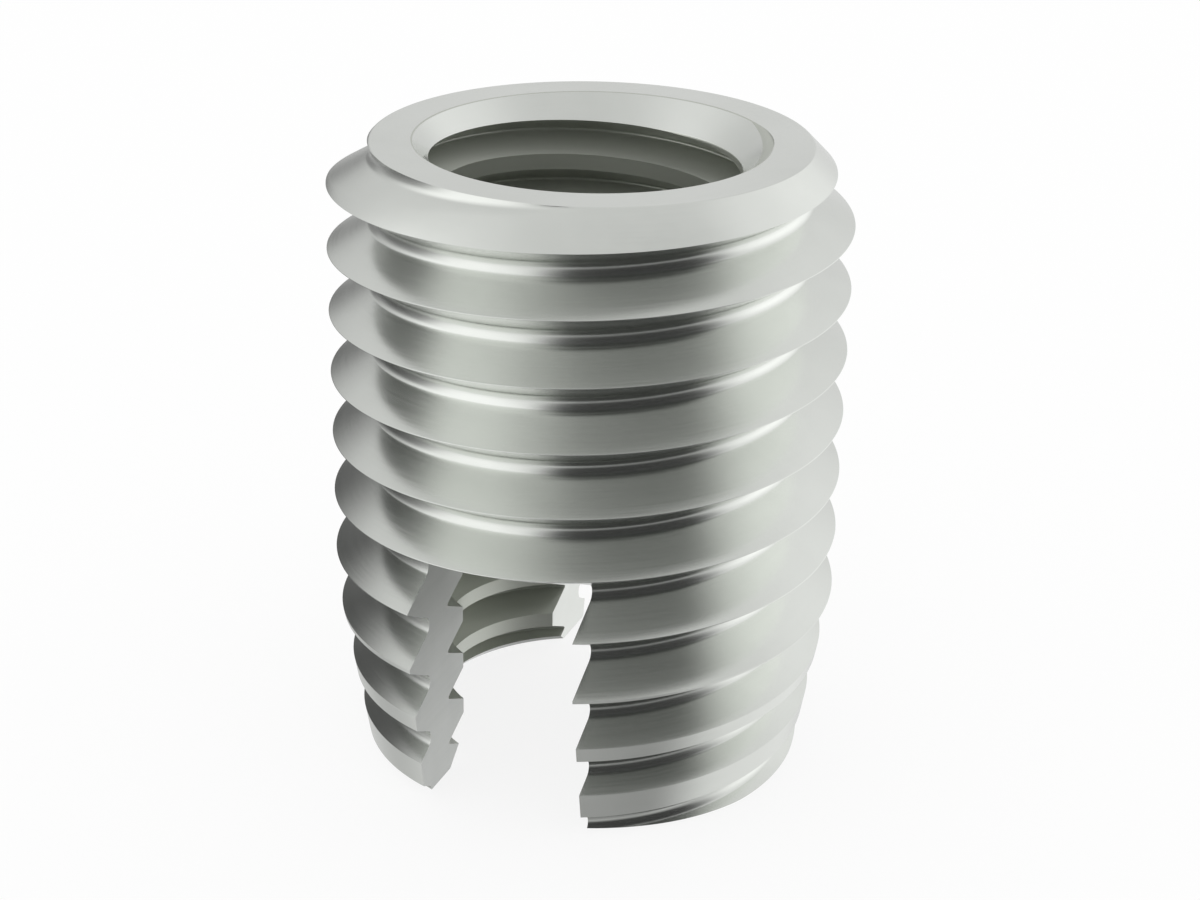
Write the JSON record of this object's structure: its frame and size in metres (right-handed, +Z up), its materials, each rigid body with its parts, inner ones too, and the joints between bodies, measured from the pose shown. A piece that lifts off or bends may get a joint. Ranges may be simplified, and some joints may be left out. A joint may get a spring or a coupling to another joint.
{
  "type": "threaded insert",
  "caption": "Hollow threaded insert with a self-cutting thread outside, a countersunk threaded bore inside, and a cross slot whose edges cut the thread in the host.",
  "frame": {"origin": "on the axis, in the plane of the prong ends that the insert stands on", "axes": "+Z up along the axis towards the countersunk head end; the cutting slot runs along Y"},
  "size_m": [0.012, 0.012, 0.015],
  "materials": {
    "steel": "satin, turned, bare"
  },
  "bodies": {
    "root": {"insert": "steel"}
  },
  "joints": []
}
